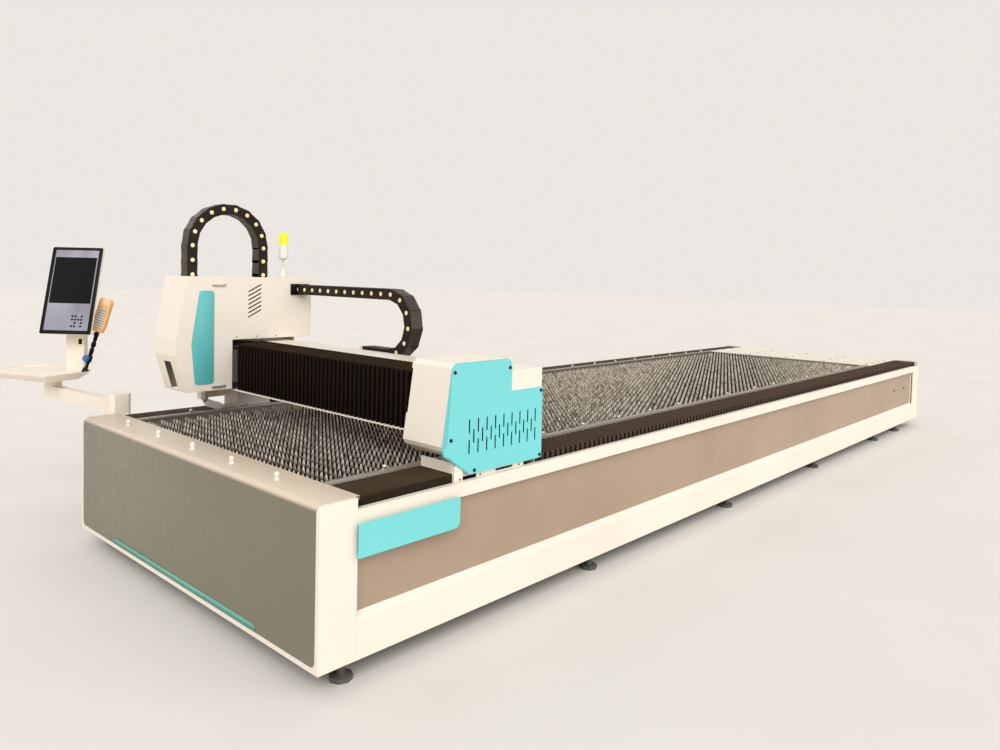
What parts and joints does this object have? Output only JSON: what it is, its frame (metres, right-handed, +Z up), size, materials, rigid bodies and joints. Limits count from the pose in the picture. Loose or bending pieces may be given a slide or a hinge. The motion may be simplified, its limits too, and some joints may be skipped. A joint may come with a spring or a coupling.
{
  "type": "fiber laser cutting machine",
  "caption": "Flat-bed laser cutter: toothed slat table, gantry on covered rails, cutting head with energy chains, and a console on a swinging arm.",
  "frame": {"origin": "on the floor below the middle of the whole machine, console included", "axes": "+X along the bed away from the console's end, +Y across the bed towards the console, +Z up"},
  "size_m": [8.4662, 3.9084, 2.062],
  "materials": {
    "white_paint": "gloss paint",
    "taupe_paint": "satin paint",
    "teal_paint": "satin paint",
    "frame_paint": "matt paint",
    "slat_steel": "heat-stained mild steel",
    "bright_steel": "ground",
    "bellows_cloth": "coated cloth",
    "chain_plastic": "moulded",
    "grey_plate": "satin",
    "beacon_lens": "clear-coated",
    "screen_glass": "polished",
    "orange_plastic": "moulded",
    "copper": "turned"
  },
  "bodies": {
    "bed": {"bed_frame": "frame_paint", "near_end_cap": "white_paint", "near_end_panel": "taupe_paint", "near_end_strip": "teal_paint", "far_end_cap": "white_paint", "far_end_panel": "taupe_paint", "far_end_deck": "white_paint", "near_side_skirt": "white_paint", "near_side_panel": "taupe_paint", "far_side_skirt": "white_paint", "far_side_panel": "taupe_paint", "sign_plate": "teal_paint", "slat_bank_near": "slat_steel", "slat_bank_far": "slat_steel", "near_edge_strip": "bright_steel", "far_edge_strip": "bright_steel", "near_rail": "bright_steel", "far_rail": "bright_steel", "slag_tray": "grey_plate", "near_bellows_front": "bellows_cloth", "near_bellows_rear": "bellows_cloth", "far_bellows_front": "bellows_cloth", "far_bellows_rear": "bellows_cloth", "console_bracket": "white_paint"},
    "gantry": {"near_carriage": "white_paint", "far_carriage": "white_paint", "gantry_beam": "frame_paint", "beam_rail_lower": "bright_steel", "beam_rail_upper": "bright_steel", "beam_top_plate": "white_paint", "beam_bottom_plate": "white_paint", "chain_tray": "grey_plate", "near_casing": "white_paint", "near_side_plate": "teal_paint", "far_casing": "white_paint", "near_drive_motor": "frame_paint", "far_drive_motor": "frame_paint", "beam_bellows_near": "bellows_cloth", "beam_bellows_far": "bellows_cloth", "chain_lower_run": "chain_plastic"},
    "chain_bend": {"chain_bend": "chain_plastic"},
    "head": {"head_carriage": "grey_plate", "head_cover": "white_paint", "head_inlay": "teal_paint", "beacon_base": "white_paint", "beacon_lens": "beacon_lens", "chain_upper_run": "chain_plastic", "z_chain": "chain_plastic"},
    "latch_upper": {"latch_upper": "bright_steel"},
    "latch_lower": {"latch_lower": "bright_steel"},
    "z_axis": {"z_slide": "grey_plate", "cutting_head": "grey_plate", "nozzle": "copper"},
    "console_arm": {"console_arm": "white_paint"},
    "console_tray": {"console_tray": "white_paint", "monitor_column": "white_paint", "pendant_holder": "chain_plastic", "pendant": "orange_plastic"},
    "monitor": {"monitor": "frame_paint", "monitor_glass": "screen_glass"}
  },
  "joints": [
    {"name": "gantry_travel", "type": "slide", "parent": "bed", "child": "gantry", "axis": [1, 0, 0], "range_m": [0, 6.2], "deforming": ["near_bellows_front", "near_bellows_rear", "far_bellows_front", "far_bellows_rear"]},
    {"name": "head_travel", "type": "slide", "parent": "gantry", "child": "head", "axis": [0, -1, 0], "range_m": [0, 1.5], "deforming": ["beam_bellows_near", "beam_bellows_far", "chain_upper_run", "chain_lower_run"]},
    {"name": "chain_bend_travel", "type": "slide", "parent": "gantry", "child": "chain_bend", "axis": [0, -1, 0], "range_m": [0, 0.75]},
    {"name": "z_travel", "type": "slide", "parent": "head", "child": "z_axis", "axis": [0, 0, -1], "range_m": [-0.06, 0.07], "deforming": ["z_chain"]},
    {"name": "latch_upper_hinge", "type": "hinge", "parent": "head", "child": "latch_upper", "pos_m": [-3.43888, -0.00573, 1.565], "axis": [0, 0, 1], "range_deg": [0, 90]},
    {"name": "latch_lower_hinge", "type": "hinge", "parent": "head", "child": "latch_lower", "pos_m": [-3.43888, -0.00573, 0.953], "axis": [0, 0, 1], "range_deg": [0, 90]},
    {"name": "arm_swing", "type": "hinge", "parent": "bed", "child": "console_arm", "pos_m": [-3.81688, 0.60377, 0.748], "axis": [0, 0, 1], "range_deg": [-55, 55]},
    {"name": "tray_swivel", "type": "hinge", "parent": "console_arm", "child": "console_tray", "pos_m": [-3.89131, 1.52878, 0.877], "axis": [0, 0, 1], "range_deg": [-60, 60]},
    {"name": "monitor_tilt", "type": "hinge", "parent": "console_tray", "child": "monitor", "pos_m": [-3.75977, 1.47341, 1.4], "axis": [-0.6428, 0.766, 0], "range_deg": [-10, 20]}
  ],
  "couplings": [
    {"joint": "chain_bend_travel", "follows": "head_travel", "ratio": 0.5}
  ]
}
